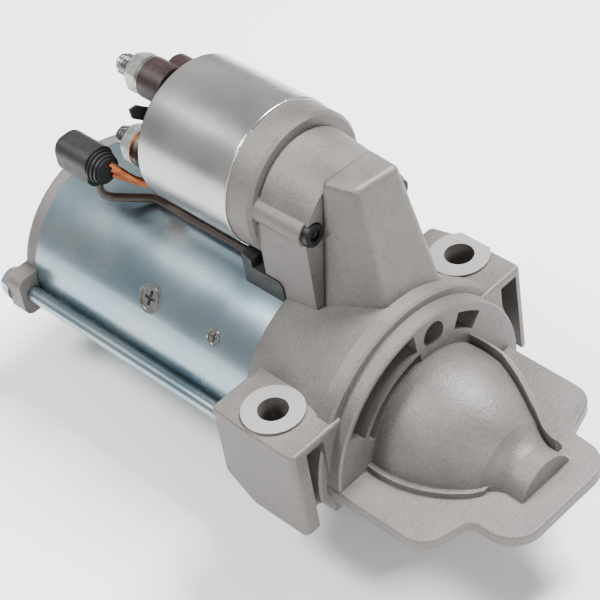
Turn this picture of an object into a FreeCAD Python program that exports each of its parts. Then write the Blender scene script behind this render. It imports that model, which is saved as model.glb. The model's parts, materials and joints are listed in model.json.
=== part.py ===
import FreeCAD, Part
import math
import os

# Geared starter motor that bolts down with two screws across its shaft.
# Millimetres. +X runs along the shaft to the nose, +Z along the mounting screws.
# Origin: midway between the two mounting holes, on the face that meets the engine.

V = FreeCAD.Vector
X_AXIS = V(1, 0, 0)
Y_AXIS = V(0, 1, 0)
Z_AXIS = V(0, 0, 1)

# ---- driving dimensions ----
shaft_z = 9.5            # shaft height above the mounting face
bolt_y = 45.5            # mounting hole, sideways from the shaft
bolt_hole_r = 5.3
boss_top = 38.1          # machined face under the bolt heads
ear_top = 37.1

seam_front = -25.3       # yoke meets the drive end housing
seam_rear = -137.1       # yoke meets the rear cover
yoke_r = 38.0
yoke_wall = 3.0
yoke_bore = yoke_r - yoke_wall

solenoid_y = 11.3
solenoid_z = 76.5
solenoid_r = 26.9
tube_front = -44.0
tube_rear = -86.5
cap_face = -98.8         # rear face of the terminal bosses
cap_rear = -88.3         # rear wall of the cap, between its bosses
cap_boss_r = 7.6
stud_place = {"battery": (6.5, 95.7), "motor": (-0.9, 68.6)}
stud_r = 4.0
stud_tip = -114.0
nut_start = {"battery": cap_face - 1.8, "motor": cap_face - 3.4}

# screws that hold the solenoid, as (y, z)
fixing_places = [(-8.2, 80.8), (30.8, 72.2)]
fixing_front = -12.0
fixing_boss_r = 5.0

flange_r = 47.6
register_r = 44.3
flange_rear = 13.0
flange_front = 18.9
nose_base = 24.7         # flat face that the nose dome stands on
dome_r = 29.1
dome_wall = 3.5
plate_low = 9.0
plate_top = 13.0
boss_r = 12.1
boss_end = 74.2

bolt_side = 41.2         # through bolts, sideways from the shaft
through_r = 3.0

fit = 0.05               # radial running clearance

# lever drive: the lever swings in the plane through both axes
lever_reach = math.hypot(solenoid_y, solenoid_z - shaft_z)
lever_tilt = math.degrees(math.atan2(solenoid_y, solenoid_z - shaft_z))
pivot_r = 36.0
pivot_x = -7.5
plunger_travel = 10.0
swing = plunger_travel / (lever_reach - pivot_r)
clutch_travel = swing * pivot_r
groove_x = pivot_x - clutch_travel / 2
top_pin_x = pivot_x + plunger_travel / 2

# planetary gear
gear_module = 1.2
sun_teeth = 12
planet_teeth = 18
ring_teeth = 48
planet_count = 3
pressure_angle = math.radians(25)
planet_orbit = gear_module * (sun_teeth + planet_teeth) / 2
planet_pin_r = 3.0
pitch_sun = gear_module * sun_teeth / 2
pitch_planet = gear_module * planet_teeth / 2
pitch_ring = gear_module * ring_teeth / 2
addendum = 0.8 * gear_module
dedendum = gear_module
sun_tip = pitch_sun + addendum
sun_root = pitch_sun - dedendum
tooth_slack = 0.14

# motor: pole shoes, the intermediate wall, the armature and the lead's way in
pole_x = -77.2
pole_angles = [143.5, 53.5, -36.5, -126.5]
support_x = -44.7
support_angles = [143.5, -36.5]
armature_slots = 19
lead_x = -98.0
lead_y = 9.0
cover_pads = [(0.0, shaft_z + 23), (0.0, shaft_z - 23)]

# drive
stop_x = 47.2
clutch_front = 13.0
race_r = 10.0
roller_r = 3.1
roller_orbit = 13.25
plunger_r = 11.4
plunger_rear = -62.5
plunger_shoulder = -40.0

# control socket behind the solenoid
plug_centre = V(-113.6, -18.2, 69.3)


# ---- helpers ----
def rod(x0, x1, r, y=0.0, z=shaft_z):
    return Part.makeCylinder(r, x1 - x0, V(x0, y, z), X_AXIS)


def tube(x0, x1, outer, inner, y=0.0, z=shaft_z):
    return rod(x0, x1, outer, y, z).cut(rod(x0 - 1, x1 + 1, inner, y, z))


def upright(x, y, z0, z1, r):
    return Part.makeCylinder(r, z1 - z0, V(x, y, z0), Z_AXIS)


def block(x0, x1, y0, y1, z0, z1):
    return Part.makeBox(x1 - x0, y1 - y0, z1 - z0, V(x0, y0, z0))


def face(points):
    ring = [V(*p) for p in points]
    return Part.Face(Part.makePolygon(ring + [ring[0]]))


def lathe(profile, y=0.0, z=shaft_z):
    # profile holds (x, radius) corners of a closed outline
    section = face([(x, y, z + r) for x, r in profile])
    return section.revolve(V(0, y, z), X_AXIS, 360)


def fuse(shapes):
    return shapes[0].multiFuse(shapes[1:]).removeSplitter()


def around(shape, angle, y=0.0, z=shaft_z):
    turned = shape.copy()
    turned.rotate(V(0, y, z), X_AXIS, angle)
    return turned


def leaned(shape):
    # an upright shape above the shaft, laid over into the plane of both axes
    return around(shape, -lever_tilt)


def spread(shape, angles):
    return Part.makeCompound([around(shape, a) for a in angles])


def hexagon(x0, x1, flats, y, z):
    # a hexagon along X whose corners are turned off at the x0 end
    r = flats / math.sqrt(3)
    corners = []
    for k in range(6):
        a = math.radians(60 * k + 30)
        corners.append((x0, y + r * math.cos(a), z + r * math.sin(a)))
    prism = face(corners).extrude(V(x1 - x0, 0, 0))
    rise = (r - flats / 2 + 0.4) * 0.7
    turned = [(x0, 0), (x0, flats / 2 - 0.3), (x0 + rise, r + 0.1), (x1, r + 0.1), (x1, 0)]
    return prism.common(lathe(turned, y, z))


def softened(shape, edges, radius):
    try:
        result = shape.makeFillet(radius, edges)
    except Part.OCCError:
        return shape
    return result if result.isValid() else shape


def rounded_outline(corners, z):
    # corners hold (x, y, radius); a radius of 0 keeps the corner sharp
    edges = []
    ends = []
    count = len(corners)
    for i, (x, y, r) in enumerate(corners):
        here = V(x, y, z)
        before = V(corners[i - 1][0], corners[i - 1][1], z)
        after = V(corners[(i + 1) % count][0], corners[(i + 1) % count][1], z)
        to_before = (before - here).normalize()
        to_after = (after - here).normalize()
        if r == 0:
            ends.append((here, here))
            continue
        half = to_before.getAngle(to_after) / 2
        reach = r / math.tan(half)
        start = here + to_before * reach
        stop = here + to_after * reach
        inward = (to_before + to_after).normalize()
        middle = here + inward * (r / math.sin(half) - r)
        edges.append(Part.Arc(start, middle, stop).toShape())
        ends.append((start, stop))
    for i in range(count):
        a = ends[i][1]
        b = ends[(i + 1) % count][0]
        edges.append(Part.LineSegment(a, b).toShape())
    return Part.Face(Part.Wire(Part.__sortEdges__(edges)))


def polar(x, r, angle, y=0.0, z=shaft_z):
    return V(x, y + r * math.cos(angle), z + r * math.sin(angle))


def gear_face(x, module, teeth, tip, root, slack, phase=0.0, y=0.0, z=shaft_z):
    # involute flanks, each drawn as one arc through three of its points
    pitch = module * teeth / 2
    base = pitch * math.cos(pressure_angle)

    def spread_at(r):
        a = math.acos(min(1.0, base / r))
        return math.tan(a) - a

    half = math.pi / (2 * teeth) - slack / (2 * pitch)
    start = max(base, root)
    edges = []
    step = 2 * math.pi / teeth
    for k in range(teeth):
        centre = phase + k * step
        flanks = []
        for side in (-1, 1):
            points = []
            for r in (start, (start + tip) / 2, tip):
                angle = half + spread_at(pitch) - spread_at(r)
                points.append(polar(x, r, centre + side * angle, y, z))
            low = half + spread_at(pitch) - spread_at(start)
            flanks.append((points, polar(x, root, centre + side * low, y, z), low))
        left, right = flanks
        if base > root:
            edges.append(Part.LineSegment(left[1], left[0][0]).toShape())
        edges.append(Part.Arc(*left[0]).toShape())
        top = polar(x, tip, centre, y, z)
        edges.append(Part.Arc(left[0][2], top, right[0][2]).toShape())
        edges.append(Part.Arc(*reversed(right[0])).toShape())
        if base > root:
            edges.append(Part.LineSegment(right[0][0], right[1]).toShape())
        valley = polar(x, root, centre + step / 2, y, z)
        following = polar(x, root, centre + step - left[2], y, z)
        edges.append(Part.Arc(right[1], valley, following).toShape())
    return Part.Face(Part.Wire(edges))


# ---- drive end housing ----
def sector(x0, x1, inner, outer, start, stop):
    # part of a ring about the shaft between two angles from +Y, in degrees
    a = math.radians(start)
    b = math.radians(stop)
    m = (a + b) / 2
    wire = Part.Wire([
        Part.Arc(polar(x0, outer, a), polar(x0, outer, m), polar(x0, outer, b)).toShape(),
        Part.LineSegment(polar(x0, outer, b), polar(x0, inner, b)).toShape(),
        Part.Arc(polar(x0, inner, b), polar(x0, inner, m), polar(x0, inner, a)).toShape(),
        Part.LineSegment(polar(x0, inner, a), polar(x0, outer, a)).toShape(),
    ])
    return Part.Face(wire).extrude(V(x1 - x0, 0, 0))


def bell():
    full = rod(seam_front, nose_base, yoke_r + 0.6)
    cone = lathe([
        (seam_front, 0), (seam_front, yoke_r + 1.4), (flange_rear, flange_r - 0.6),
        (flange_rear, flange_r), (flange_front - 0.8, flange_r), (flange_front, flange_r - 0.8),
        (flange_front, register_r), (nose_base - 0.7, register_r), (nose_base, register_r - 0.7),
        (nose_base, 0),
    ])
    shoulders = cone.common(block(-60, 60, -60, 60, 0, 80))
    register_low = block(flange_rear - 0.01, 60, -60, 60, -60, 6.5)
    shoulders = shoulders.cut(register_low)
    lower_front = block(flange_rear, 60, -60, 60, -60, plate_low)
    full = full.cut(lower_front.cut(rod(flange_rear - 1, 60, 30)))
    return fuse([full, shoulders])


def ear(side):
    outer_front = 57.3 if side < 0 else 54.2
    outer_rear = 56.5 if side < 0 else 51.2
    rear = -18.3
    front = 20.0
    plan = face([
        (rear, side * 34, 0), (rear, side * outer_rear, 0),
        (-6, side * outer_front, 0), (front, side * outer_front, 0), (front, side * 34, 0),
    ])
    body = plan.extrude(V(0, 0, ear_top))
    uprights = [e for e in body.Edges if abs(e.tangentAt(e.FirstParameter).z) > 0.9]
    outside = [e for e in uprights if abs(e.CenterOfMass.y) > 50]
    body = softened(body, outside, 2.0)
    top = [e for e in body.Edges if e.CenterOfMass.z > ear_top - 0.01 and abs(e.CenterOfMass.y) > 36]
    body = softened(body, top, 1.2)
    under_rear = face([(-30, 0, -1), (-4, 0, -1), (-4, 0, 0), (-17.5, 0, 7.5), (-30, 0, 14.5)])
    under_rear = under_rear.extrude(V(0, 140, 0))
    under_rear.translate(V(0, -70, 0))
    body = body.cut(under_rear)
    pocket_in, pocket_out = sorted((side * 43.5, side * 51.2))
    body = body.cut(block(9.8, 21, pocket_in, pocket_out, -1, 34.3))
    spot = upright(0, side * bolt_y, 30, boss_top, 10.8)
    inner, outer = sorted((side * 30, side * outer_front))
    return body.fuse(spot.common(block(-20, 20, inner, outer, 0, 60)))


def nose_solid(offset):
    # turned outline of the nose: a slow bulge that runs into the end boss
    top = shaft_z + offset
    bulge = Part.Arc(V(nose_base, 0, top + dome_r), V(46.5, 0, top + 26.2), V(60.0, 0, top + 17.4))
    neck = Part.Arc(V(60.0, 0, top + 17.4), V(62.6, 0, top + 14.2), V(67.0, 0, top + boss_r))
    corners = [
        V(67.0, 0, top + boss_r), V(boss_end, 0, top + boss_r),
        V(boss_end, 0, shaft_z), V(nose_base, 0, shaft_z), V(nose_base, 0, top + dome_r),
    ]
    edges = [bulge.toShape(), neck.toShape()]
    for a, b in zip(corners, corners[1:]):
        edges.append(Part.LineSegment(a, b).toShape())
    return Part.Face(Part.Wire(edges)).revolve(V(0, 0, shaft_z), X_AXIS, 360)


def nose_rib():
    # raised wall along one side of the nose, from the front face down to the boss
    inner = [(nose_base - 0.5, 21.4), (38.7, 21.6), (50.1, 17.0), (57.0, 14.0), (63.2, 12.3), (68.6, 11.6)]
    outer = [(69.0, 14.2), (63.8, 15.0), (58.2, 16.5), (51.4, 19.4), (39.8, 24.2), (nose_base - 0.5, 24.2)]
    strip = face([(x, y, plate_low) for x, y in inner + outer]).extrude(V(0, 0, 40))
    return strip.common(nose_solid(3.0))


def plate():
    outline = rounded_outline([
        (flange_front, -44.6, 0), (60.8, -44.9, 9), (65.4, -27.0, 4), (84.8, -26.6, 11),
        (84.8, 21.0, 11), (66.8, 22.4, 4), (61.5, 39.4, 9), (flange_front, 40.2, 0),
    ], plate_low)
    slab = outline.extrude(V(0, 0, plate_top - plate_low))
    rim = [e for e in slab.Edges if abs(e.CenterOfMass.z - plate_top) < 0.01 and e.CenterOfMass.x > 30]
    return softened(slab, rim, 0.8)


def tower():
    low = face([(-10.4, -11.9, 39.5), (16.7, -3.4, 39.5), (16.7, 24.0, 39.5), (-14.5, 24.0, 39.5)])
    high = face([(-11.2, -2.0, 98.5), (2.2, 1.2, 98.5), (5.0, 19.2, 98.5), (-9.6, 20.4, 98.5)])
    solid = Part.makeLoft([low.OuterWire, high.OuterWire], True, True)
    long_edges = [e for e in solid.Edges if e.Length > 50 or e.CenterOfMass.z > 98]
    return softened(solid, long_edges, 2.6)


def lever_room():
    # the space that the lever, its fork and the plunger eye move in
    slot = block(-17.5, 2.6, -6.8, 6.8, shaft_z + 28, shaft_z + 74)
    fork_room = block(-16.5, 7.0, -19.8, 19.8, shaft_z, shaft_z + 31.5)
    eye_room = rod(-36, -13.4, 15.6, 0, shaft_z + lever_reach)
    return [leaned(slot), leaned(fork_room), leaned(eye_room)]


def drive_end_housing():
    web = block(-33.4, -10.3, solenoid_y - 23.3, 27, 35, solenoid_z)
    web = web.cut(rod(-60, seam_front, yoke_r + 0.4))
    collar = lathe([
        (tube_front, 0), (tube_front, 26.2), (-34.6, 26.2), (-33.3, 24.9), (-33.3, 0),
    ], solenoid_y, solenoid_z)
    undercut = tube(-33.3, -32.0, 27.0, 21.4, 10.6, 76.0).common(block(-34, -30, -30, 60, 76, 110))
    barrel = Part.makeLoft([
        Part.Wire(Part.makeCircle(22.6, V(-34, 10.6, 76.0), X_AXIS)),
        Part.Wire(Part.makeCircle(21.4, V(-10.3, 9.4, 75.2), X_AXIS)),
    ], True, True)
    half = block(nose_base - 1, 100, -60, 60, plate_low, 60)
    dome = nose_solid(0).common(half)
    bead = nose_solid(2.4).common(block(nose_base - 1, 62, -60, 12, plate_low, plate_top + 2.0))
    fixing_bosses = [rod(-34, fixing_front, fixing_boss_r, y, z) for y, z in fixing_places]
    pin_bosses = [rod(seam_front, -12, 6.6, s * bolt_side) for s in (-1, 1)]
    outside = fuse([
        bell(), ear(-1), ear(1), web, collar, barrel.cut(undercut), tower(), plate(), dome, bead,
        nose_rib(), *pin_bosses, *fixing_bosses,
    ])
    inside = [
        rod(seam_front - 1, -21.7, yoke_bore),
        rod(-23, 14, 33.0),
        rod(13, nose_base + 0.01, dome_r - dome_wall - 0.2),
        nose_solid(-dome_wall).common(block(0, 60.1, -60, 60, -60, 60)),
        rod(tube_front - 0.1, -43.3, 25.0, solenoid_y, solenoid_z),
        rod(-44, -36, 16.5, solenoid_y, solenoid_z),
        rod(59, boss_end - 2.0, 8.0),
        *lever_room(),
    ]
    inside += [upright(0, s * bolt_y, -5, 45, bolt_hole_r) for s in (-1, 1)]
    inside += [rod(seam_front - 1, -13, through_r, s * bolt_side) for s in (-1, 1)]
    inside.append(leaned(Part.makeCylinder(3.0, 28, V(pivot_x, -14, shaft_z + pivot_r), Y_AXIS)))
    for y, z in fixing_places:
        inside.append(rod(-46, fixing_front + 1, 2.6, y, z))
        inside.append(rod(fixing_front, 0, 4.4, y, z))
    # cored pockets in the front face
    inside.append(sector(15.5, 30, 34.7, 42.5, 94, 150).common(rod(0, nose_base + 1, 50)))
    inside.append(sector(15.5, nose_base + 1, 34.0, 40.7, 47, 64))
    recess = polar(15.5, 36.8, math.radians(81))
    inside.append(rod(15.5, nose_base + 1, 4.7, recess.y, recess.z))
    inside.append(sector(22.4, nose_base + 1, 29.4, 32.8, 92, 152))
    shell = outside
    for cutter in inside:
        shell = shell.cut(cutter)
    return shell.removeSplitter()


# ---- motor ----
def yoke():
    body = tube(seam_rear, seam_front, yoke_r, yoke_bore)
    for angle in pole_angles:
        body = body.cut(radial_rod(pole_x, yoke_bore - 2, yoke_r + 2, 3.1, angle))
        body = body.cut(radial_cone(pole_x, yoke_r - 2.6, yoke_r + 0.01, 3.1, 5.7, angle))
    for angle in support_angles:
        body = body.cut(radial_rod(support_x, yoke_bore - 2, yoke_r + 2, 2.1, angle))
        body = body.cut(radial_cone(support_x, yoke_r - 1.6, yoke_r + 0.01, 2.1, 3.4, angle))
    return body.cut(upright(lead_x, lead_y, 40, 50, 4.2))


def radial_rod(x, r0, r1, radius, angle):
    stem = Part.makeCylinder(radius, r1 - r0, V(x, r0, shaft_z), Y_AXIS)
    return around(stem, angle)


def radial_cone(x, r0, r1, small, large, angle):
    stem = Part.makeCone(small, large, r1 - r0, V(x, r0, shaft_z), Y_AXIS)
    return around(stem, angle)


def cross_recess(x, r, size, depth, angle):
    long_bar = block(x - size, x + size, r - depth, r + 1, shaft_z - size / 5, shaft_z + size / 5)
    wide_bar = block(x - size / 5, x + size / 5, r - depth, r + 1, shaft_z - size, shaft_z + size)
    return around(long_bar.fuse(wide_bar), angle)


def countersunk(x, angle, shank, head, depth, bottom):
    top = yoke_r - 0.1
    screw = radial_rod(x, bottom, top - depth, shank, angle)
    screw = screw.fuse(radial_cone(x, top - depth, top, shank, head, angle))
    ring = radial_rod(x, top - 0.35, top + 1, head * 0.84, angle)
    ring = ring.cut(radial_rod(x, top - 1, top + 2, head * 0.7, angle))
    return screw.cut(ring).cut(cross_recess(x, top, head * 0.5, depth * 0.8, angle))


def pole_shoe():
    shoe = tube(-100, -55, yoke_bore, 29.4)
    shoe = shoe.common(wedge(-100, -55, 40, 31))
    foot = tube(-100, -55, yoke_bore - 0.01, 33.0).common(wedge(-100, -55, 40, 20))
    stem = shoe.common(block(-100, -55, 0, 40, shaft_z - 9.5, shaft_z + 9.5))
    tip = tube(-100, -55, 31.2, 29.4).common(wedge(-100, -55, 40, 31))
    shoe = fuse([stem, tip, foot.common(block(-100, -55, 0, 40, shaft_z - 9.5, shaft_z + 9.5))])
    return shoe.cut(Part.makeCylinder(3.1, 20, V(pole_x, 26, shaft_z), Y_AXIS))


def wedge(x0, x1, reach, half_angle):
    # pie slice about +Y with the given half angle
    side = reach * 2
    a = math.radians(half_angle)
    return face([
        (x0, 0, shaft_z), (x0, side * math.cos(a), shaft_z + side * math.sin(a)),
        (x0, side * 1.5, shaft_z), (x0, side * math.cos(a), shaft_z - side * math.sin(a)),
    ]).extrude(V(x1 - x0, 0, 0))


def field_coil():
    # a flat winding that lies round the stem of a pole shoe
    outer = tube(-104, -51, 34.7, 31.5).common(wedge(-104, -51, 40, 38))
    window = block(-100.6, -54.4, 20, 40, shaft_z - 9.8, shaft_z + 9.8)
    return outer.cut(window)


def slotted_core():
    core = rod(-101, -55, 27.6)
    slots = []
    for k in range(armature_slots):
        slot = block(-102, -54, 17.5, 29, shaft_z - 1.4, shaft_z + 1.4)
        slots.append(around(slot, k * 360 / armature_slots))
    core = core.cut(rod(-102, -54, 8.5))
    return core.cut(Part.makeCompound(slots))


def winding():
    bars = []
    for k in range(armature_slots):
        bar = block(-103, -53.9, 18.2, 26.4, shaft_z - 1.15, shaft_z + 1.15)
        bars.append(around(bar, k * 360 / armature_slots))
    front_head = tube(-54.8, -50.4, 26.4, 17.0)
    rear_head = tube(-108.5, -101.2, 26.4, 17.0)
    return fuse([front_head, rear_head] + bars)


def commutator():
    drum = tube(-131, -111, 15.5, 8.5)
    risers = tube(-111.4, -108.7, 19.0, 8.5)
    drum = drum.fuse(risers)
    gaps = []
    for k in range(armature_slots):
        gap = block(-132, -108.6, 14.4, 20, shaft_z - 0.3, shaft_z + 0.3)
        gaps.append(around(gap, (k + 0.5) * 360 / armature_slots))
    return drum.cut(Part.makeCompound(gaps))


def armature_shaft():
    body = lathe([
        (-145.5, 0), (-145.5, 6.0), (-132, 6.0), (-132, 8.5), (-50.2, 8.5), (-50.2, 7.5),
        (-42.6, 7.5), (-42.6, 5.6), (-31.5, 5.6), (-31.5, 4.0), (-26.0, 4.0), (-26.0, 0),
    ])
    sun = gear_face(-42.4, gear_module, sun_teeth, sun_tip, sun_root, tooth_slack)
    return body.fuse(sun.extrude(V(10.4, 0, 0)))


# ---- planetary gear ----
def planet_gear(index):
    turn = 2 * math.pi * index / planet_count
    centre = polar(0, planet_orbit, turn)
    profile = gear_face(
        -41.2, gear_module, planet_teeth, pitch_planet + addendum, pitch_planet - dedendum,
        tooth_slack, math.pi / planet_teeth, centre.y, centre.z)
    gear = profile.extrude(V(8.8, 0, 0))
    return gear.cut(rod(-43, -30, planet_pin_r + fit, centre.y, centre.z))


def planet_pins():
    pins = []
    for index in range(planet_count):
        centre = polar(0, planet_orbit, 2 * math.pi * index / planet_count)
        pins.append(rod(-41.6, -26.4, planet_pin_r, centre.y, centre.z))
    return Part.makeCompound(pins)


def ring_gear():
    cutter = gear_face(
        -44, gear_module, ring_teeth, pitch_ring + dedendum, pitch_ring - addendum,
        -tooth_slack, math.pi / ring_teeth)
    band = rod(-42.4, seam_front - 0.2, yoke_bore - 0.02)
    return band.cut(cutter.extrude(V(30, 0, 0)))


def gear_cover():
    disc = tube(seam_front + 0.1, -21.9, yoke_bore - 0.05, 12.0)
    return disc.fuse(tube(seam_front + 0.1, -19.4, 14.0, 12.0))


def output_shaft():
    body = lathe([
        (-31.0, 0), (-31.0, 24.5), (-26.0, 24.5), (-26.0, 8.95), (-18.9, 8.95), (-18.9, 6.6),
        (6.0, 6.6), (6.0, 6.0), (71.6, 6.0), (71.6, 0),
    ])
    keys = [around(block(-18.9, 6.0, 6.0, 7.6, shaft_z - 1.2, shaft_z + 1.2), 60 * k) for k in range(6)]
    body = body.fuse(keys)
    body = body.cut(rod(-32, -25.4, 4.0 + fit))
    for index in range(planet_count):
        centre = polar(0, planet_orbit, 2 * math.pi * index / planet_count)
        body = body.cut(rod(-32, -25, planet_pin_r, centre.y, centre.z))
    return body.cut(tube(stop_x + 5.2, stop_x + 6.6, 7.0, 5.3))


def centre_support():
    body = lathe([
        (-49.6, 12.0), (-49.6, yoke_bore - 0.02), (-42.6, yoke_bore - 0.02), (-42.6, 31.0),
        (-47.0, 31.0), (-47.0, 12.0),
    ])
    body = body.fuse(tube(-49.6, -43.2, 12.0, 10.0))
    for angle in support_angles:
        body = body.cut(radial_rod(support_x, 26, yoke_bore + 1, 2.0, angle))
    return body


# ---- drive ----
def clutch_sleeve():
    rear = groove_x - 5.3
    body = lathe([
        (rear, 6.6 + fit), (rear, 14.0), (groove_x - 4.0, 14.0), (groove_x - 4.0, 10.0),
        (groove_x + 4.0, 10.0), (groove_x + 4.0, 14.0), (groove_x + 6.4, 14.0),
        (groove_x + 6.4, 12.0), (-4.0, 12.0), (-4.0, 6.6 + fit),
    ])
    for k in range(6):
        way = block(rear - 1, -3, 5.0, 7.75, shaft_z - 1.3, shaft_z + 1.3)
        body = body.cut(around(way, 60 * k))
    return body


def clutch_shell():
    shell = lathe([
        (-4.0, 8.2), (-4.0, 20.0), (-3.0, 20.5), (clutch_front, 20.5), (clutch_front, race_r + 0.4),
        (clutch_front - 2.0, race_r + 0.4), (clutch_front - 2.0, 16.5), (-1.0, 16.5), (-1.0, 8.2),
    ])
    return shell


def clutch_rollers():
    rollers = []
    for k in range(6):
        centre = polar(0, roller_orbit, math.radians(60 * k + 30))
        rollers.append(rod(-0.4, clutch_front - 2.6, roller_r, centre.y, centre.z))
    return Part.makeCompound(rollers)


def pinion():
    race = rod(-0.5, clutch_front + 3.4, race_r)
    teeth = gear_face(clutch_front + 3.2, 2.5, 10, 14.8, 9.4, 0.2)
    body = race.fuse(teeth.extrude(V(17.6, 0, 0)))
    body = body.common(lathe([
        (-0.6, 0), (-0.6, 9.5), (0, race_r + 0.2), (clutch_front + 3.2, race_r + 0.2),
        (clutch_front + 3.2, 15.0), (clutch_front + 19.0, 15.0), (clutch_front + 20.8, 12.6),
        (clutch_front + 20.8, 0),
    ]))
    body = body.cut(rod(-2, 12, 8.0))
    return body.cut(rod(11, 60, 7.6))


def pinion_bush():
    return tube(13.0, clutch_front + 19.8, 7.6, 6.0 + fit)


# ---- lever and plunger ----
def fork_lever():
    # drawn upright at mid travel, then turned back to its rest angle
    pivot_z = shaft_z + pivot_r
    top_z = shaft_z + lever_reach
    upper = block(pivot_x - 3.6, pivot_x + 3.6, -3, 3, pivot_z, top_z)
    head = Part.makeCylinder(4.6, 6, V(pivot_x, -3, top_z), Y_AXIS)
    hub = Part.makeCylinder(6.2, 10, V(pivot_x, -5, pivot_z), Y_AXIS)
    neck = block(pivot_x - 3.4, pivot_x + 3.4, -4, 4, shaft_z + 24.5, pivot_z)
    bridge = block(pivot_x - 3.0, pivot_x + 3.0, -18.6, 18.6, shaft_z + 23.6, shaft_z + 28.0)
    arms = []
    for s in (-1, 1):
        low, high = sorted((s * 14.6, s * 18.6))
        arms.append(block(pivot_x - 2.5, pivot_x + 2.5, low, high, shaft_z - 3.5, shaft_z + 25))
    lever = fuse([upper, head, hub, neck, bridge] + arms)
    lever = lever.cut(Part.makeCylinder(3.0 + fit, 40, V(pivot_x, -20, pivot_z), Y_AXIS))
    lever = lever.cut(Part.makeCylinder(2.5, 40, V(pivot_x, -20, top_z), Y_AXIS))
    for s in (-1, 1):
        hole = Part.makeCylinder(1.8, 6, V(pivot_x, s * 16.6 - 3, shaft_z), Y_AXIS)
        lever = lever.cut(hole)
    return at_rest(lever)


def at_rest(shape):
    turned = shape.copy()
    turned.rotate(V(pivot_x, 0, shaft_z + pivot_r), Y_AXIS, math.degrees(swing) / 2)
    return leaned(turned)


def fork_pin():
    pin = Part.makeCylinder(2.5, 11.2, V(pivot_x, -5.6, shaft_z + lever_reach), Y_AXIS)
    return at_rest(pin)


def fork_pads():
    pads = []
    for s in (-1, 1):
        pad_y, stem_y = (10.6, 14.6) if s > 0 else (-14.6, -18.6)
        pads.append(Part.makeCylinder(3.6, 4.0, V(pivot_x, pad_y, shaft_z), Y_AXIS))
        pads.append(Part.makeCylinder(1.8, 4.0, V(pivot_x, stem_y, shaft_z), Y_AXIS))
    left = pads[2].fuse(pads[3])
    right = pads[0].fuse(pads[1])
    return at_rest(Part.makeCompound([left, right]))


def fork_pivot_pin():
    pin = Part.makeCylinder(3.0, 27.6, V(pivot_x, -13.8, shaft_z + pivot_r), Y_AXIS)
    return leaned(pin)


def plunger():
    y, z = 0, shaft_z + lever_reach
    body = rod(plunger_rear, plunger_shoulder, plunger_r, y, z)
    body = body.fuse(rod(plunger_shoulder - 0.5, -13, 4.0, y, z))
    eye = block(-14, top_pin_x + 4.2, -5.6, 5.6, z - 4.6, z + 4.6)
    eye = eye.cut(block(-10.6, 10, -3.3, 3.3, z - 9, z + 9))
    slot = Part.makeCylinder(2.65, 20, V(top_pin_x, -10, z - 0.5), Y_AXIS)
    slot = slot.fuse(Part.makeCylinder(2.65, 20, V(top_pin_x, -10, z + 0.5), Y_AXIS))
    slot = slot.fuse(block(top_pin_x - 2.65, top_pin_x + 2.65, -10, 10, z - 0.5, z + 0.5))
    collar = rod(-24.4, -22.4, 14.9, y, z)
    return leaned(fuse([body, eye, collar]).cut(slot))


def plunger_spring():
    return tube(tube_front + 0.05, -24.6, 14.6, 12.6, solenoid_y, solenoid_z)


# ---- solenoid ----
def solenoid_case():
    body = rod(tube_rear, tube_front, solenoid_r, solenoid_y, solenoid_z)
    body = body.cut(rod(tube_rear - 1, tube_front - 4.0, solenoid_r - 1.6, solenoid_y, solenoid_z))
    body = body.cut(rod(tube_front - 5, tube_front + 1, plunger_r + 0.1, solenoid_y, solenoid_z))
    for y, z in fixing_places:
        body = body.cut(rod(-50, -43, 2.5, y, z))
    rim = [e for e in body.Edges if abs(e.CenterOfMass.x - tube_front) < 0.01 and e.Length > 150]
    return softened(body, rim, 0.7)


def solenoid_screws():
    screws = []
    for y, z in fixing_places:
        head = rod(fixing_front, fixing_front + 2.6, 4.1, y, z)
        socket = hexagon(fixing_front + 1.0, fixing_front + 3.0, 4.0, y, z)
        screws.append(rod(-47.8, fixing_front, 2.5, y, z).fuse(head).cut(socket))
    return Part.makeCompound(screws)


def coil_bobbin():
    body = tube(-74.5, -48.5, 14.0, 12.6, solenoid_y, solenoid_z)
    for x in (-74.5, -50.0):
        body = body.fuse(tube(x, x + 1.5, 24.9, 13.5, solenoid_y, solenoid_z))
    return body


def solenoid_coil():
    return tube(-72.9, -50.1, 24.0, 14.1, solenoid_y, solenoid_z)


def plunger_guide():
    return tube(-74.4, -48.6, 12.5, plunger_r + 0.1, solenoid_y, solenoid_z)


def solenoid_core():
    body = rod(-80.4, -73.0, plunger_r, solenoid_y, solenoid_z)
    body = body.fuse(tube(-80.4, -74.7, solenoid_r - 1.65, 11.0, solenoid_y, solenoid_z))
    return body.cut(rod(-90, -70, 2.6 + 0.3, solenoid_y, solenoid_z))


def solenoid_cap():
    shell = rod(cap_rear, -80.6, solenoid_r - 1.7, solenoid_y, solenoid_z)
    for y, z in stud_place.values():
        shell = shell.fuse(rod(cap_face, cap_rear + 0.5, cap_boss_r, y, z))
    y, z = stud_place["battery"]
    shell = shell.fuse(rod(-95.5, cap_rear + 0.5, cap_boss_r - 0.8, y + 8.0, z - 1.4))
    shell = shell.cut(rod(cap_rear + 1.3, -80, 21.8, solenoid_y, solenoid_z))
    for y, z in stud_place.values():
        shell = shell.cut(rod(cap_face - 1, cap_rear + 1.3, stud_r, y, z))
    return shell.removeSplitter()


def stud(name):
    y, z = stud_place[name]
    head = block(cap_rear + 1.3, cap_rear + 2.6, y - 5, y + 5, z - 7, z + 5)
    head = head.common(rod(-94, -80, 21.7, solenoid_y, solenoid_z))
    point = lathe([
        (stud_tip, 0), (stud_tip, stud_r - 0.7), (stud_tip + 0.7, stud_r), (cap_rear + 1.3, stud_r),
        (cap_rear + 1.3, 0),
    ], y, z)
    return point.fuse(head)


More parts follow.
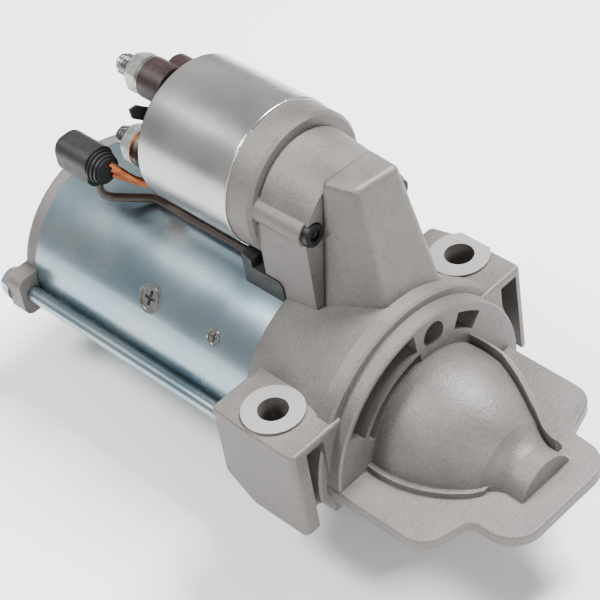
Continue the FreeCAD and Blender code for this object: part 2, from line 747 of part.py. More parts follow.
def stud_nuts():
    nuts = []
    for name, (y, z) in stud_place.items():
        front = nut_start[name]
        nut = hexagon(front - 5.6, front, 13.0, y, z).cut(rod(-120, -90, stud_r, y, z))
        nuts.append(nut)
    return Part.makeCompound(nuts)


def stud_washers():
    rings = []
    for y, z in stud_place.values():
        rings.append(tube(cap_face - 1.7, cap_face - 0.05, 7.4, stud_r + 0.1, y, z))
    return Part.makeCompound(rings)


def contact_rod():
    return rod(-85.1, -73.6, 2.6, solenoid_y, solenoid_z)


def contact_disc():
    return tube(-83.7, -82.3, 20.0, 2.6, solenoid_y, solenoid_z)


def trigger_terminal():
    # blade that stands out past the rim of the solenoid
    y, z = solenoid_y, solenoid_z
    foot = block(-92.8, cap_rear - 0.02, y + 17, y + 21, z - 2.4, z + 2.4)
    blade = face([
        (-92.6, y + 19, z - 2.4), (-92.6, y + 26.6, z - 2.4), (-92.6, y + 29.2, z - 0.4),
        (-92.6, y + 26.2, z + 2.4), (-92.6, y + 19, z + 2.4),
    ]).extrude(V(0.9, 0, 0))
    return around(foot.fuse(blade), 139, y, z)


# ---- rear end ----
def rear_cover():
    rear = -143.6
    cup = rod(rear, seam_rear, yoke_r)
    back_edge = [e for e in cup.Edges if abs(e.CenterOfMass.x - rear) < 0.01]
    cup = softened(cup, back_edge, 2.2)
    lugs = []
    for s in (-1, 1):
        low, high = sorted((s * 28, s * 46.6))
        lug = block(rear, seam_rear + 0.9, low, high, shaft_z - 8.5, shaft_z + 8.5)
        corners = [e for e in lug.Edges if abs(e.CenterOfMass.y) > 46 and e.Length < 10 and e.Length > 5]
        lugs.append(softened(lug, corners, 4.0).cut(rod(seam_rear, -130, yoke_r + 0.2)))
    hub = rod(-148.4, rear + 1, 11.5)
    pads = [rod(-145.4, rear + 1, 6.0, y, z) for y, z in cover_pads]
    body = fuse([cup, hub] + lugs + pads)
    body = body.cut(rod(-141.4, seam_rear + 2, 33.5))
    body = body.fuse(tube(-142, -133.6, 11.5, 8.6))
    body = body.cut(rod(-146.6, -130, 8.6))
    for s in (-1, 1):
        body = body.cut(rod(-150, -130, through_r + 0.15, s * bolt_side))
    for y, z in cover_pads:
        body = body.cut(rod(-150, -130, 2.1, y, z))
    return body


def through_bolts():
    bolts = []
    for s in (-1, 1):
        y = s * bolt_side
        shank = rod(-143.6, -13.2, through_r, y)
        washer = rod(-144.8, -143.6, 6.3, y)
        head = hexagon(-149.2, -144.8, 10.0, y, shaft_z)
        bolts.append(fuse([shank, washer, head]))
    return Part.makeCompound(bolts)


def cover_screws():
    screws = []
    for y, z in cover_pads:
        shank = rod(-145.4, -134.5, 2.1, y, z)
        head = rod(-148.0, -145.4, 4.0, y, z)
        head = head.cut(block(-149, -146.8, y - 5, y + 5, z - 0.5, z + 0.5))
        screws.append(shank.fuse(head))
    return Part.makeCompound(screws)


def brush_holder():
    plate_ring = tube(-133.4, -131.4, 33.8, 19.0)
    boxes = []
    for k in range(4):
        box = block(-131.5, -116.5, 17.5, 31.5, shaft_z - 5.6, shaft_z + 5.6)
        box = box.cut(block(-130.2, -117.8, 16, 30.5, shaft_z - 4.4, shaft_z + 4.4))
        boxes.append(around(box, 90 * k + 45))
    body = fuse([plate_ring] + boxes)
    for y, z in cover_pads:
        body = body.cut(rod(-136, -130, 2.1, y, z))
    return body


def brush():
    body = block(-129.9, -118.1, 15.0, 24.0, shaft_z - 4.2, shaft_z + 4.2)
    return body.cut(rod(-132, -116, 15.6))


def brush_spring():
    coil = Part.makeCylinder(3.6, 6.3, V(-124, 24.1, shaft_z), Y_AXIS)
    return coil.cut(Part.makeCylinder(2.4, 10, V(-124, 23, shaft_z), Y_AXIS))


# ---- wiring ----
def bent_tube(points, r, bend):
    # straight runs joined by tangent arcs
    edges = []
    start = V(*points[0])
    for i in range(1, len(points) - 1):
        here = V(*points[i])
        to_before = (V(*points[i - 1]) - here).normalize()
        to_after = (V(*points[i + 1]) - here).normalize()
        half = to_before.getAngle(to_after) / 2
        reach = bend / math.tan(half)
        a = here + to_before * reach
        b = here + to_after * reach
        inward = (to_before + to_after).normalize()
        middle = here + inward * (bend / math.sin(half) - bend)
        edges.append(Part.LineSegment(start, a).toShape())
        edges.append(Part.Arc(a, middle, b).toShape())
        start = b
    edges.append(Part.LineSegment(start, V(*points[-1])).toShape())
    path = Part.Wire(edges)
    ring = Part.Wire(Part.makeCircle(r, V(*points[0]), V(*points[1]) - V(*points[0])))
    return path.makePipeShell([ring], True, False)


def motor_lead():
    # ring terminal on the motor stud and the braid that goes down into the yoke
    y, z = stud_place["motor"]
    front = cap_face - 1.8
    ring = tube(front - 1.5, front, 7.4, stud_r + 0.1, y, z)
    tongue = block(front - 1.5, front, y - 3, y + 3, 58.5, z - 6)
    x = front - 0.75
    braid = bent_tube([(x, y, 60), (x, y, 54.5), (lead_x, lead_y, 51.5), (lead_x, lead_y, 45)], 2.3, 2.6)
    return fuse([ring, tongue, braid])


def rubber_grommet():
    # fills the gap between yoke, solenoid and housing
    outline = [(-44, 44), (-44, 58.5), (-39.5, 57), (-39.5, 54), (-27, 54), (-25.4, 52), (-25.4, 44)]
    solid = face([(x, -12.6, z) for x, z in outline]).extrude(V(0, 17, 0))
    solid = solid.cut(rod(-60, -20, yoke_r + 0.02))
    solid = solid.cut(rod(-60, tube_front + 0.05, solenoid_r + 0.05, solenoid_y, solenoid_z))
    solid = solid.cut(rod(tube_front, -33.2, 26.3, solenoid_y, solenoid_z))
    return solid.cut(block(-33.5, -20, solenoid_y - 23.4, 30, 40, 90))


def trigger_connector():
    c = plug_centre
    body = block(c.x - 10.5, c.x + 7, c.y - 6.4, c.y + 6.4, c.z - 7.2, c.z + 7.2)
    long_edges = [e for e in body.Edges if e.Length > 17 and e.Length < 18]
    body = softened(body, long_edges, 5.2)
    end_edges = [e for e in body.Edges if e.CenterOfMass.x < c.x - 10.4]
    body = softened(body, end_edges, 2.2)
    parts_of = [body]
    for k in range(3):
        x = c.x + 7.0 + 1.4 * k
        parts_of.append(rod(x - 0.1, x + 0.8, 6.4 - 0.5 * k, c.y, c.z))
        parts_of.append(rod(x, x + 1.5, 5.6 - 0.5 * k, c.y, c.z))
    return fuse(parts_of)


def trigger_wires():
    wires = []
    c = plug_centre
    for k in range(3):
        start = (c.x + 11.4, c.y + 1.5, c.z + 2.4 - 2.4 * k)
        middle = (-96.5, -12.5 + 1.4 * k, 65.0 - 2.4 * k)
        end = (cap_rear - 0.01, -6.4 + 2.2 * k, 60.6 - 2.0 * k)
        wires.append(bent_tube([start, middle, end], 1.0, 6.0))
    return Part.makeCompound(wires)


def trigger_lead():
    c = plug_centre
    route = [
        (c.x + 2, c.y + 1, c.z - 7.25), (c.x + 2, c.y + 1, 52.0),
        (-98, -4.4, 49.2), (-44.1, -4.4, 49.2),
    ]
    return bent_tube(route, 1.6, 5.0)


parts = {}
parts["drive_end_housing"] = drive_end_housing()
parts["nose_bush"] = tube(60.5, boss_end - 2.1, 8.0, 6.0 + fit)
parts["yoke"] = yoke()
parts["pole_shoes"] = spread(pole_shoe(), pole_angles)
parts["field_coils"] = spread(field_coil(), pole_angles)
parts["pole_screws"] = Part.makeCompound(
    [countersunk(pole_x, a, 3.1, 5.5, 2.45, 30.5) for a in pole_angles])
parts["support_screws"] = Part.makeCompound(
    [countersunk(support_x, a, 2.0, 3.3, 1.5, 31.5) for a in support_angles])
parts["centre_support"] = centre_support()
parts["support_bush"] = tube(-49.4, -43.4, 10.0, 7.5 + fit)
parts["armature_shaft"] = armature_shaft()
parts["armature_core"] = slotted_core()
parts["armature_winding"] = winding()
parts["commutator"] = commutator()
parts["ring_gear"] = ring_gear()
parts["output_shaft"] = output_shaft()
parts["planet_pins"] = planet_pins()
parts["gear_cover"] = gear_cover()
parts["cover_bush"] = tube(seam_front + 0.2, -19.5, 12.0, 8.95 + fit)
parts["stop_collar"] = tube(stop_x, stop_x + 5.0, 9.5, 6.0)
parts["snap_ring"] = tube(stop_x + 5.25, stop_x + 6.5, 7.2, 5.3)
parts["clutch_sleeve"] = clutch_sleeve()
parts["clutch_shell"] = clutch_shell()
parts["clutch_rollers"] = clutch_rollers()
parts["pinion"] = pinion()
parts["pinion_bush"] = pinion_bush()
parts["fork_lever"] = fork_lever()
parts["fork_pin"] = fork_pin()
parts["fork_pads"] = fork_pads()
parts["fork_pivot_pin"] = fork_pivot_pin()
parts["plunger"] = plunger()
parts["plunger_spring"] = plunger_spring()
parts["solenoid_case"] = solenoid_case()
parts["coil_bobbin"] = coil_bobbin()
parts["solenoid_coil"] = solenoid_coil()
parts["plunger_guide"] = plunger_guide()
parts["solenoid_core"] = solenoid_core()
parts["solenoid_cap"] = solenoid_cap()
parts["terminal_studs"] = Part.makeCompound([stud(name) for name in stud_place])
parts["stud_nuts"] = stud_nuts()
parts["stud_washers"] = stud_washers()
parts["contact_rod"] = contact_rod()
parts["contact_disc"] = contact_disc()
parts["rear_cover"] = rear_cover()
parts["rear_bush"] = tube(-146.4, -134, 8.6, 6.0 + fit)
parts["through_bolts"] = through_bolts()
parts["cover_screws"] = cover_screws()
parts["brush_holder"] = brush_holder()
parts["brushes"] = spread(brush(), [45, 135, 225, 315])
parts["brush_springs"] = spread(brush_spring(), [45, 135, 225, 315])
for index in range(planet_count):
    parts["planet_gear_%d" % (index + 1)] = planet_gear(index)
parts["motor_lead"] = motor_lead()
parts["rubber_grommet"] = rubber_grommet()
parts["trigger_terminal"] = trigger_terminal()
parts["trigger_connector"] = trigger_connector()
parts["trigger_wires"] = trigger_wires()
parts["trigger_lead"] = trigger_lead()
parts["solenoid_screws"] = solenoid_screws()

os.makedirs("parts", exist_ok=True)
for name, shape in parts.items():
    print(name, shape.isValid(), len(shape.Solids), round(shape.Volume), shape.BoundBox)
    shape.exportStep("parts/" + name + ".step")
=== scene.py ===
import json
import math

import bmesh
import bpy
from mathutils import Matrix, Vector


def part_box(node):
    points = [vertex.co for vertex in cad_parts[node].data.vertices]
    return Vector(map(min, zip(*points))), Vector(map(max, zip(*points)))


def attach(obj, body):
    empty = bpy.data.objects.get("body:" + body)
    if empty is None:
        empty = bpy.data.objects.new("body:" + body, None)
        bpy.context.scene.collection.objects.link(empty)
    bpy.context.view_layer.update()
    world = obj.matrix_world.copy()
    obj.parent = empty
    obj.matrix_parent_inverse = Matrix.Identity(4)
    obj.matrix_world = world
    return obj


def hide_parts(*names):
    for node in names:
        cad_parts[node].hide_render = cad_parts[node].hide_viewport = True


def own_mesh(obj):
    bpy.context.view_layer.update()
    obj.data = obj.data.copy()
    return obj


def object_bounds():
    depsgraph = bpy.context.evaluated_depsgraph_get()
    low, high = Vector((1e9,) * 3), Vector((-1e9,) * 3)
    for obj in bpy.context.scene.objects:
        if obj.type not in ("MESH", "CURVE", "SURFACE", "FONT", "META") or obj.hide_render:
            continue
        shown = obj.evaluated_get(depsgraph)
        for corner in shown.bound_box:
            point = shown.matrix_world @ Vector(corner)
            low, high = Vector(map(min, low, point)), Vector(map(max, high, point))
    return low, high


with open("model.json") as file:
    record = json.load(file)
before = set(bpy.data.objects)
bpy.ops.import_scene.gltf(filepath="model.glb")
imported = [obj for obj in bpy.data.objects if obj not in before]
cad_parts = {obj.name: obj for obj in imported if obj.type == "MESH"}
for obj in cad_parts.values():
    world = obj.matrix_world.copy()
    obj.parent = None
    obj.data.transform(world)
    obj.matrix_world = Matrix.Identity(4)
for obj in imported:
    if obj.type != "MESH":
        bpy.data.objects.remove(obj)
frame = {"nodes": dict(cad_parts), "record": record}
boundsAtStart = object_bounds()
nodes = frame["nodes"]
print("frame loaded:", len(nodes), "nodes")

mm = 0.001


def middleOf(node):
    low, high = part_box(node)
    return [(a + b) / 2 for a, b in zip(low, high)]


shaftHeight = middleOf("yoke")[2]
solenoidY, solenoidZ = middleOf("solenoid_case")[1:]


def newMaterial(name):
    material = bpy.data.materials.new(name)
    material.use_nodes = True
    return material, material.node_tree.nodes, material.node_tree.links


def noiseAt(tree, links, vector, scale, detail, roughness=0.55):
    noise = tree.new("ShaderNodeTexNoise")
    noise.inputs["Scale"].default_value = scale
    noise.inputs["Detail"].default_value = detail
    noise.inputs["Roughness"].default_value = roughness
    links.new(vector, noise.inputs["Vector"])
    return noise.outputs["Fac"]


def rampOf(tree, links, value, stops):
    ramp = tree.new("ShaderNodeValToRGB")
    elements = ramp.color_ramp.elements
    while len(elements) < len(stops):
        elements.new(0.5)
    for element, (place, colour) in zip(elements, stops):
        element.position = place
        element.color = (*colour, 1.0)
    links.new(value, ramp.inputs["Fac"])
    return ramp.outputs["Color"]


def rangeOf(tree, links, value, low, high):
    spread = tree.new("ShaderNodeMapRange")
    spread.inputs["From Min"].default_value = 0.3
    spread.inputs["From Max"].default_value = 0.7
    spread.inputs["To Min"].default_value = low
    spread.inputs["To Max"].default_value = high
    links.new(value, spread.inputs["Value"])
    return spread.outputs["Result"]


def mathOf(tree, links, operation, a, b=None):
    step = tree.new("ShaderNodeMath")
    step.operation = operation
    for socket, value in zip(step.inputs, (a, b)):
        if value is None:
            continue
        if isinstance(value, (int, float)):
            socket.default_value = value
        else:
            links.new(value, socket)
    return step.outputs["Value"]


def blendColours(tree, links, amount, first, second):
    mix = tree.new("ShaderNodeMix")
    mix.data_type = "RGBA"
    factor, a, b = mix.inputs[0], mix.inputs[6], mix.inputs[7]  # the colour sockets of a Mix node
    for socket, value in ((factor, amount), (a, first), (b, second)):
        if isinstance(value, (int, float)):
            socket.default_value = value
        elif isinstance(value, tuple):
            socket.default_value = (*value, 1.0)
        else:
            links.new(value, socket)
    return mix.outputs[2]


def objectPoint(tree):
    return tree.new("ShaderNodeTexCoord").outputs["Object"]


def stretched(tree, links, vector, scale):
    mapping = tree.new("ShaderNodeMapping")
    mapping.inputs["Scale"].default_value = scale
    links.new(vector, mapping.inputs["Vector"])
    return mapping.outputs["Vector"]


def bumpOf(tree, links, height, strength, distance, under=None):
    bump = tree.new("ShaderNodeBump")
    bump.inputs["Strength"].default_value = strength
    bump.inputs["Distance"].default_value = distance
    links.new(height, bump.inputs["Height"])
    if under is not None:
        links.new(under, bump.inputs["Normal"])
    return bump.outputs["Normal"]


def plainFinish(name, look):
    # mottled colour, uneven gloss and fine relief, all on Object coordinates
    material, tree, links = newMaterial(name)
    shader = tree["Principled BSDF"]
    point = objectPoint(tree)
    if "stretch" in look:
        point = stretched(tree, links, point, look["stretch"])
    mottle = noiseAt(tree, links, point, look["mottleScale"], 5.0)
    colour = rampOf(tree, links, mottle, [(0.32, look["dark"]), (0.68, look["light"])])
    links.new(colour, shader.inputs["Base Color"])
    wear = noiseAt(tree, links, point, look["mottleScale"] * 3.1, 3.0)
    links.new(rangeOf(tree, links, wear, *look["roughness"]), shader.inputs["Roughness"])
    grain = noiseAt(tree, links, point, look["grainScale"], 3.0)
    links.new(bumpOf(tree, links, grain, look["bump"], look["relief"]), shader.inputs["Normal"])
    shader.inputs["Metallic"].default_value = look["metallic"]
    return material


casting = {
    "dark": (0.098, 0.090, 0.085),
    "light": (0.158, 0.146, 0.138),
    "pits": (0.058, 0.052, 0.048),
    "roughness": (0.42, 0.60),
    "metallic": 0.25,
    "machined": (0.27, 0.262, 0.25),
    "patchScale": 42.0,
    "grainScale": 1300.0,
    "pitScale": 520.0,
    "grainDepth": 0.16 * mm,
    "pitDepth": 0.3 * mm,
    "spotHeight": 38.1 * mm,
    "spotSide": 45.5 * mm,
    "spotRadius": 10.9 * mm,
    "spotSkin": 0.12 * mm,
}


def spotFaces(tree, links, point, look):
    # 1 on the two turned faces under the bolt heads, 0 elsewhere
    split = tree.new("ShaderNodeSeparateXYZ")
    links.new(point, split.inputs["Vector"])
    above = mathOf(tree, links, "SUBTRACT", split.outputs["Z"], look["spotHeight"])
    level = mathOf(tree, links, "LESS_THAN", mathOf(tree, links, "ABSOLUTE", above), look["spotSkin"])
    eitherSide = mathOf(tree, links, "ABSOLUTE", split.outputs["Y"])
    sideways = mathOf(tree, links, "SUBTRACT", eitherSide, look["spotSide"])
    across = mathOf(tree, links, "POWER", sideways, 2.0)
    along = mathOf(tree, links, "POWER", split.outputs["X"], 2.0)
    reach = mathOf(tree, links, "ADD", across, along)
    near = mathOf(tree, links, "LESS_THAN", reach, look["spotRadius"] ** 2)
    return mathOf(tree, links, "MULTIPLY", level, near)


def castFinish(name, look):
    # die cast skin with a sandy grain, darker in its pits
    material, tree, links = newMaterial(name)
    shader = tree["Principled BSDF"]
    point = objectPoint(tree)
    broad = noiseAt(tree, links, point, look["patchScale"], 5.0)
    fine = noiseAt(tree, links, point, look["grainScale"], 4.0, 0.65)
    pits = noiseAt(tree, links, point, look["pitScale"], 3.0)
    colour = rampOf(tree, links, broad, [(0.3, look["dark"]), (0.7, look["light"])])
    grainMask = rampOf(tree, links, fine, [(0.35, (0.35, 0.35, 0.35)), (0.6, (0, 0, 0))])
    colour = blendColours(tree, links, grainMask, colour, look["pits"])
    pitMask = rampOf(tree, links, pits, [(0.62, (0, 0, 0)), (0.74, (0.6, 0.6, 0.6))])
    colour = blendColours(tree, links, pitMask, colour, look["pits"])
    colour = blendColours(tree, links, spotFaces(tree, links, point, look), colour, look["machined"])
    links.new(colour, shader.inputs["Base Color"])
    links.new(rangeOf(tree, links, broad, *look["roughness"]), shader.inputs["Roughness"])
    skin = bumpOf(tree, links, fine, 0.8, look["grainDepth"])
    links.new(bumpOf(tree, links, pits, 0.5, look["pitDepth"], skin), shader.inputs["Normal"])
    shader.inputs["Metallic"].default_value = look["metallic"]
    return material


yokePlating = {
    "colours": [
        (0.26, (0.190, 0.275, 0.330)), (0.42, (0.235, 0.320, 0.370)), (0.56, (0.275, 0.345, 0.378)),
        (0.66, (0.315, 0.335, 0.325)), (0.80, (0.250, 0.325, 0.360)),
    ],
    "roughness": (0.20, 0.32),
    "lineScale": 900.0,
    "height": shaftHeight,
    "across": 0.0,
}
solenoidPlating = {
    "colours": [(0.3, (0.33, 0.33, 0.325)), (0.5, (0.41, 0.41, 0.40)), (0.7, (0.47, 0.47, 0.46))],
    "roughness": (0.20, 0.30),
    "lineScale": 1600.0,
    "height": solenoidZ,
    "across": solenoidY,
}
plating = {
    "wrapRadius": 30 * mm,  # turns the angle round a tube into a length
    "blotchScale": (30.0, 46.0, 1.0),
    "blotchShare": 0.92,  # the rest of the colour comes from the turned lines
    "lineSpread": 30.0,
    "lineDepth": 0.02 * mm,
    "metallic": 0.9,
}


def platedFinish(name, look):
    # plating that runs round a tube: fine turned lines and broad soft blotches
    material, tree, links = newMaterial(name)
    shader = tree["Principled BSDF"]
    point = objectPoint(tree)
    split = tree.new("ShaderNodeSeparateXYZ")
    links.new(point, split.inputs["Vector"])
    across = mathOf(tree, links, "SUBTRACT", split.outputs["Y"], look["across"])
    up = mathOf(tree, links, "SUBTRACT", split.outputs["Z"], look["height"])
    turn = mathOf(tree, links, "ARCTAN2", across, up)
    join = tree.new("ShaderNodeCombineXYZ")
    links.new(split.outputs["X"], join.inputs["X"])
    links.new(mathOf(tree, links, "MULTIPLY", turn, plating["wrapRadius"]), join.inputs["Y"])
    wrapped = join.outputs["Vector"]
    blotchPoint = stretched(tree, links, wrapped, plating["blotchScale"])
    linePoint = stretched(tree, links, wrapped, (look["lineScale"], plating["lineSpread"], 1.0))
    blotch = noiseAt(tree, links, blotchPoint, 1.0, 2.0, 0.4)
    lines = noiseAt(tree, links, linePoint, 1.0, 3.0)
    mostly = mathOf(tree, links, "MULTIPLY", blotch, plating["blotchShare"])
    slightly = mathOf(tree, links, "MULTIPLY", lines, 1.0 - plating["blotchShare"])
    both = mathOf(tree, links, "ADD", mostly, slightly)
    links.new(rampOf(tree, links, both, look["colours"]), shader.inputs["Base Color"])
    links.new(rangeOf(tree, links, both, *look["roughness"]), shader.inputs["Roughness"])
    links.new(bumpOf(tree, links, lines, 0.05, plating["lineDepth"]), shader.inputs["Normal"])
    shader.inputs["Metallic"].default_value = plating["metallic"]
    return material


finishes = {
    "plain_steel": {
        "dark": (0.30, 0.30, 0.29), "light": (0.36, 0.36, 0.35),
        "roughness": (0.22, 0.30), "metallic": 0.95,
        "mottleScale": 160.0, "grainScale": 900.0,
        "bump": 0.2, "relief": 0.00005,
    },
    "hard_steel": {
        "dark": (0.30, 0.30, 0.31), "light": (0.42, 0.42, 0.42),
        "roughness": (0.28, 0.42), "metallic": 0.95,
        "mottleScale": 120.0, "grainScale": 800.0,
        "bump": 0.2, "relief": 0.00005,
    },
    "core_steel": {
        "dark": (0.22, 0.22, 0.23), "light": (0.34, 0.34, 0.35),
        "roughness": (0.34, 0.5), "metallic": 0.9,
        "mottleScale": 90.0, "grainScale": 1.0, "stretch": (2400.0, 40.0, 40.0),
        "bump": 0.5, "relief": 0.00008,
    },
    "sintered_bronze": {
        "dark": (0.36, 0.24, 0.11), "light": (0.50, 0.34, 0.17),
        "roughness": (0.4, 0.55), "metallic": 0.85,
        "mottleScale": 200.0, "grainScale": 1400.0,
        "bump": 0.4, "relief": 0.00008,
    },
    "copper": {
        "dark": (0.16, 0.040, 0.015), "light": (0.33, 0.105, 0.042),
        "roughness": (0.26, 0.42), "metallic": 0.9,
        "mottleScale": 220.0, "grainScale": 1200.0,
        "bump": 0.3, "relief": 0.00008,
    },
    "enamelled_copper": {
        "dark": (0.22, 0.06, 0.02), "light": (0.36, 0.11, 0.04),
        "roughness": (0.22, 0.34), "metallic": 0.3,
        "mottleScale": 130.0, "grainScale": 700.0,
        "bump": 0.4, "relief": 0.0001,
    },
    "phenolic": {
        "dark": (0.009, 0.004, 0.0035), "light": (0.019, 0.008, 0.007),
        "roughness": (0.36, 0.52), "metallic": 0.0,
        "mottleScale": 150.0, "grainScale": 1000.0,
        "bump": 0.25, "relief": 0.00008,
    },
    "black_plastic": {
        "dark": (0.003, 0.003, 0.003), "light": (0.007, 0.007, 0.007),
        "roughness": (0.46, 0.62), "metallic": 0.0,
        "mottleScale": 120.0, "grainScale": 1300.0,
        "bump": 0.3, "relief": 0.00006,
    },
    "brown_insulation": {
        "dark": (0.016, 0.008, 0.005), "light": (0.034, 0.017, 0.011),
        "roughness": (0.36, 0.5), "metallic": 0.0,
        "mottleScale": 130.0, "grainScale": 900.0,
        "bump": 0.25, "relief": 0.00006,
    },
    "black_oxide": {
        "dark": (0.010, 0.010, 0.010), "light": (0.022, 0.021, 0.020),
        "roughness": (0.34, 0.48), "metallic": 0.6,
        "mottleScale": 190.0, "grainScale": 1000.0,
        "bump": 0.3, "relief": 0.00006,
    },
    "tan_plastic": {
        "dark": (0.38, 0.31, 0.20), "light": (0.50, 0.42, 0.29),
        "roughness": (0.4, 0.52), "metallic": 0.0,
        "mottleScale": 110.0, "grainScale": 900.0,
        "bump": 0.2, "relief": 0.00008,
    },
    "black_rubber": {
        "dark": (0.004, 0.005, 0.005), "light": (0.010, 0.011, 0.012),
        "roughness": (0.5, 0.68), "metallic": 0.0,
        "mottleScale": 140.0, "grainScale": 1100.0,
        "bump": 0.4, "relief": 0.0001,
    },
    "carbon": {
        "dark": (0.035, 0.033, 0.032), "light": (0.075, 0.07, 0.068),
        "roughness": (0.42, 0.58), "metallic": 0.1,
        "mottleScale": 260.0, "grainScale": 1500.0,
        "bump": 0.3, "relief": 0.00006,
    },
}

materials = {name: plainFinish(name, look) for name, look in finishes.items()}
materials["cast_alloy"] = castFinish("cast_alloy", casting)
materials["zinc_yoke"] = platedFinish("zinc_yoke", yokePlating)
materials["solenoid_plate"] = platedFinish("solenoid_plate", solenoidPlating)


def paint(obj, name):
    if not obj.data.materials:
        obj.data.materials.append(materials[name])
    for place in obj.material_slots:
        place.material = materials[name]


finishOf = {part["node"]: part["material_slot"] for part in frame["record"]["subparts"]}
finishOf.update({
    "stud_nuts": "plain_steel", "stud_washers": "plain_steel",
    "solenoid_screws": "black_oxide", "trigger_lead": "brown_insulation",
})
for name, node in nodes.items():
    paint(node, finishOf[name])
print("finishes on the frame")


def pieceFrom(bm, name, body, finish, smooth=True):
    bmesh.ops.recalc_face_normals(bm, faces=bm.faces)
    mesh = bpy.data.meshes.new(name)
    bm.to_mesh(mesh)
    bm.free()
    for polygon in mesh.polygons:
        polygon.use_smooth = smooth
    piece = bpy.data.objects.new(name, mesh)
    bpy.context.scene.collection.objects.link(piece)
    paint(piece, finish)
    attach(piece, body)
    return piece


def coiled(bm, section, centre, pitch, turns, steps):
    # winds a closed outline round the X axis through centre
    edges = []
    corners = [bm.verts.new(point) for point in section]
    for i, corner in enumerate(corners):
        edges.append(bm.edges.new((corner, corners[(i + 1) % len(corners)])))
    first = bmesh.ops.contextual_create(bm, geom=edges)["faces"][0]
    count = int(steps * turns)
    bmesh.ops.spin(
        bm, geom=[first], cent=centre, axis=(1, 0, 0), dvec=(pitch / steps, 0, 0),
        angle=2 * math.pi * turns, steps=count, use_merge=False)


springLow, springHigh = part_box("plunger_spring")
springLook = {
    "wire": 0.75 * mm, "radius": 13.55 * mm, "turns": 5.5, "steps": 40, "corners": 8,
    "fixedEnd": springLow.x, "freeEnd": springHigh.x - 0.05 * mm, "keep": 0.48,
}


def plungerSpring(look):
    bm = bmesh.new()
    section = []
    for k in range(look["corners"]):
        a = 2 * math.pi * k / look["corners"]
        section.append((
            look["fixedEnd"] + look["wire"] * (1 + math.cos(a)),
            solenoidY, solenoidZ + look["radius"] + look["wire"] * math.sin(a)))
    pitch = (look["freeEnd"] - look["fixedEnd"] - 2 * look["wire"]) / look["turns"]
    coiled(bm, section, (0, solenoidY, solenoidZ), pitch, look["turns"], look["steps"])
    spring = pieceFrom(bm, "return_spring", "root", "plain_steel")
    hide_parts("plunger_spring")
    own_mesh(spring)


plungerSpring(springLook)
print("spring wound")

studLook = {
    "places": [(6.5 * mm, 95.7 * mm), (-0.9 * mm, 68.6 * mm)],
    "tip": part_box("terminal_studs")[0].x, "threadEnd": -99.2 * mm, "root": -87.0 * mm,
    "crest": 3.98 * mm, "core": 3.35 * mm, "pitch": 1.25 * mm, "steps": 24, "sides": 32,
    "headThick": 1.2 * mm, "headAcross": 9 * mm, "headDrop": 1.0 * mm, "lap": 0.2 * mm,
}


def roundBar(bm, start, end, radius, y, z, sides):
    lying = Matrix.Rotation(math.pi / 2, 4, "Y")
    bmesh.ops.create_cone(
        bm, cap_ends=True, segments=sides, radius1=radius, radius2=radius, depth=abs(end - start),
        matrix=Matrix.Translation(((start + end) / 2, y, z)) @ lying)


def studThread(bm, look, y, z):
    low, high, pitch = look["core"] - 0.1 * mm, look["crest"], look["pitch"]
    start = look["tip"] + 0.15 * mm
    section = [
        (start, y, z + low), (start + 0.48 * pitch, y, z + high),
        (start + 0.56 * pitch, y, z + high), (start + 0.98 * pitch, y, z + low)]
    turns = (look["threadEnd"] - look["tip"]) / pitch - 1.2
    coiled(bm, section, (0, y, z), pitch, turns, look["steps"])


def terminalStuds(look):
    bm = bmesh.new()
    for y, z in look["places"]:
        roundBar(bm, look["tip"], look["threadEnd"], look["core"], y, z, look["sides"])
        roundBar(bm, look["threadEnd"] - look["lap"], look["root"], look["crest"], y, z, look["sides"])
        headPlace = Matrix.Translation((look["root"] + 0.66 * mm, y, z - look["headDrop"]))
        headSize = Matrix.Diagonal((look["headThick"], look["headAcross"], look["headAcross"], 1))
        bmesh.ops.create_cube(bm, size=1.0, matrix=headPlace @ headSize)
        studThread(bm, look, y, z)
    studs = pieceFrom(bm, "threaded_studs", "root", "plain_steel", smooth=False)
    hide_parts("terminal_studs")


terminalStuds(studLook)
print("studs threaded")

floorLook = {
    "size": 6.0, "height": boundsAtStart[0].z - 0.2 * mm,
    "colour": (0.95, 0.95, 0.945), "roughness": 0.9,
}
floorMesh = bpy.data.meshes.new("floor")
floorShape = bmesh.new()
bmesh.ops.create_grid(floorShape, x_segments=1, y_segments=1, size=floorLook["size"])
bmesh.ops.translate(floorShape, verts=floorShape.verts, vec=(0, 0, floorLook["height"]))
floorShape.to_mesh(floorMesh)
floorShape.free()
floor = bpy.data.objects.new("floor", floorMesh)
bpy.context.scene.collection.objects.link(floor)
floorMaterial, floorTree, _ = newMaterial("pale_floor")
floorTree["Principled BSDF"].inputs["Base Color"].default_value = (*floorLook["colour"], 1.0)
floorTree["Principled BSDF"].inputs["Roughness"].default_value = floorLook["roughness"]
floorMesh.materials.append(floorMaterial)

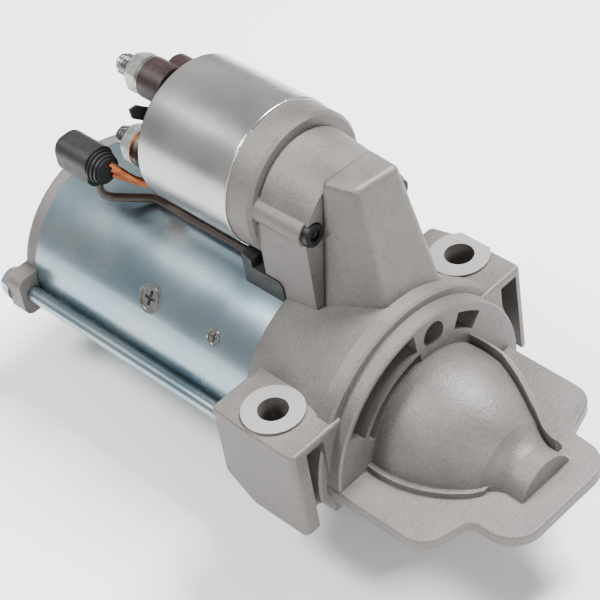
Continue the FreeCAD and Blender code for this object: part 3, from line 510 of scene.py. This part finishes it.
studioLight = {"colour": (1.0, 1.0, 1.0), "strength": 0.42}
world = bpy.data.worlds.new("studio")
bpy.context.scene.world = world
world.use_nodes = True
background = world.node_tree.nodes["Background"]
background.inputs["Color"].default_value = (*studioLight["colour"], 1.0)
background.inputs["Strength"].default_value = studioLight["strength"]

lamps = {
    "key": {"place": (0.10, 0.55, 1.05), "aim": (-0.03, 0, 0.03), "size": 0.42, "watts": 44.0},
    "top": {"place": (-0.45, -0.55, 1.1), "aim": (-0.05, 0, 0.02), "size": 0.35, "watts": 20.0},
    "front": {"place": (1.1, -0.35, 0.55), "aim": (0.0, 0, 0.03), "size": 0.35, "watts": 9.0},
}
for name, lamp in lamps.items():
    light = bpy.data.lights.new(name, "AREA")
    light.size = lamp["size"]
    light.energy = lamp["watts"]
    holder = bpy.data.objects.new(name, light)
    holder.location = lamp["place"]
    aim = Vector(lamp["aim"]) - Vector(lamp["place"])
    holder.rotation_euler = aim.to_track_quat("-Z", "Y").to_euler()
    bpy.context.scene.collection.objects.link(holder)

cameraLook = {
    "place": (0.379724, -0.327351, 0.522225),  # metres
    "azimuth": 51.6016, "elevation": 42.8956, "roll": -10.5535,  # degrees
    "lens": 125.952, "sensor": 36.0, "nearest": 0.01,
}


def placeCamera(look):
    azimuth, elevation, roll = (math.radians(look[k]) for k in ("azimuth", "elevation", "roll"))
    level = Vector((math.sin(azimuth), -math.cos(azimuth), 0))
    back = level * math.cos(elevation) + Vector((0, 0, math.sin(elevation)))
    right = Vector((math.cos(azimuth), math.sin(azimuth), 0))
    up = back.cross(right)
    turnedRight = right * math.cos(roll) + up * math.sin(roll)
    turnedUp = up * math.cos(roll) - right * math.sin(roll)
    camera = bpy.data.objects.new("camera", bpy.data.cameras.new("camera"))
    camera.data.lens = look["lens"]
    camera.data.sensor_width = look["sensor"]
    camera.data.clip_start = look["nearest"]
    camera.matrix_world = Matrix((
        (turnedRight.x, turnedUp.x, back.x, look["place"][0]),
        (turnedRight.y, turnedUp.y, back.y, look["place"][1]),
        (turnedRight.z, turnedUp.z, back.z, look["place"][2]),
        (0, 0, 0, 1)))
    bpy.context.scene.collection.objects.link(camera)
    bpy.context.scene.camera = camera


placeCamera(cameraLook)
print("stage set")
